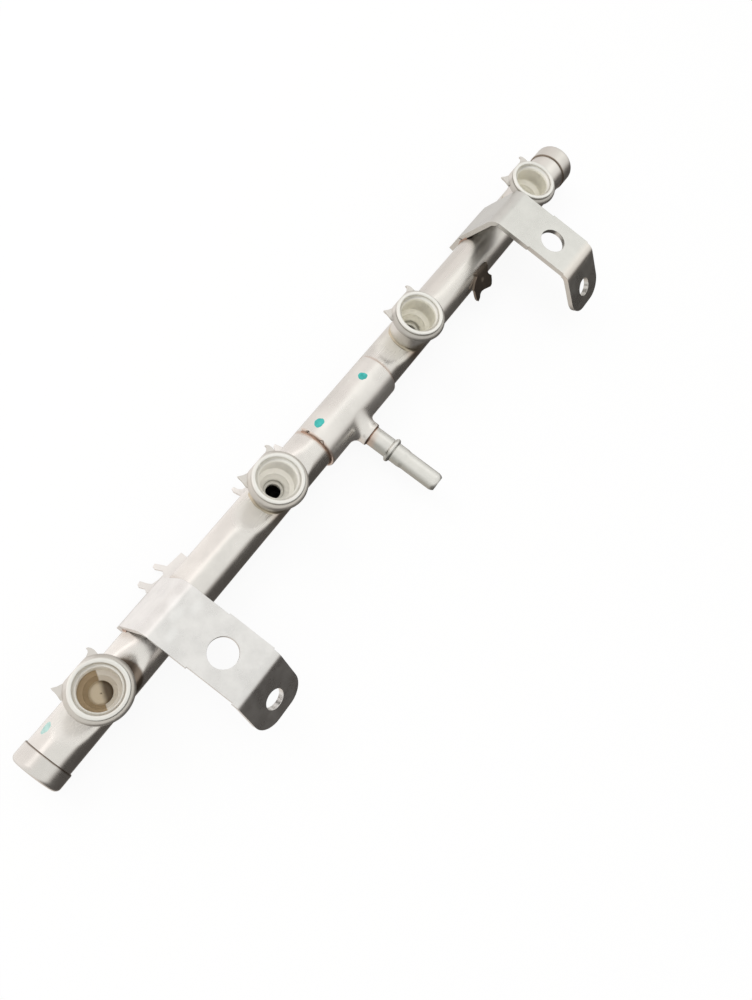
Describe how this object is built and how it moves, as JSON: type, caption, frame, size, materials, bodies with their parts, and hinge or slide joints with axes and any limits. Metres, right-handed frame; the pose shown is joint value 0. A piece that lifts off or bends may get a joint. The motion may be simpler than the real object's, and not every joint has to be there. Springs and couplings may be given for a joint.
{
  "type": "fuel rail",
  "caption": "Brazed stainless steel fuel rail with injector cups along one side, a beaded side inlet, two bent strip brackets and small harness clips",
  "frame": {"origin": "the centre of the near bracket's bolt hole, in the plane of its upper face, which is how the rail is held", "axes": "+X runs along the rail from the near bracket towards the far one, +Z is the way the injector cups open and the brackets' plates face, +Y points away from the inlet"},
  "size_m": [0.3544, 0.0708, 0.035],
  "materials": {
    "rail_steel": "satin drawn tube, brown heat tint beside the brazed joints",
    "plug_steel": "satin turned",
    "cup_steel": "bright satin, drawn, straw heat tint at the foot",
    "saddle_steel": "satin pressed sheet with pinkish brown tint at its edges",
    "spigot_steel": "bright satin tube",
    "bracket_steel": "matt pressed strip with faint blotches",
    "clip_steel": "satin stamped strip, darkened by brazing"
  },
  "bodies": {
    "root": {"rail_tube": "rail_steel", "end_plug_near": "plug_steel", "end_plug_far": "plug_steel", "injector_cup_1": "cup_steel", "injector_cup_2": "cup_steel", "injector_cup_3": "cup_steel", "injector_cup_4": "cup_steel", "clip_plate_1": "cup_steel", "clip_plate_2": "cup_steel", "clip_plate_3": "cup_steel", "clip_plate_4": "cup_steel", "inlet_saddle": "saddle_steel", "inlet_spigot": "spigot_steel", "mounting_bracket_near": "bracket_steel", "mounting_bracket_far": "bracket_steel", "harness_clip_near": "clip_steel", "harness_clip_mid": "clip_steel", "harness_clip_far": "clip_steel"}
  },
  "joints": []
}
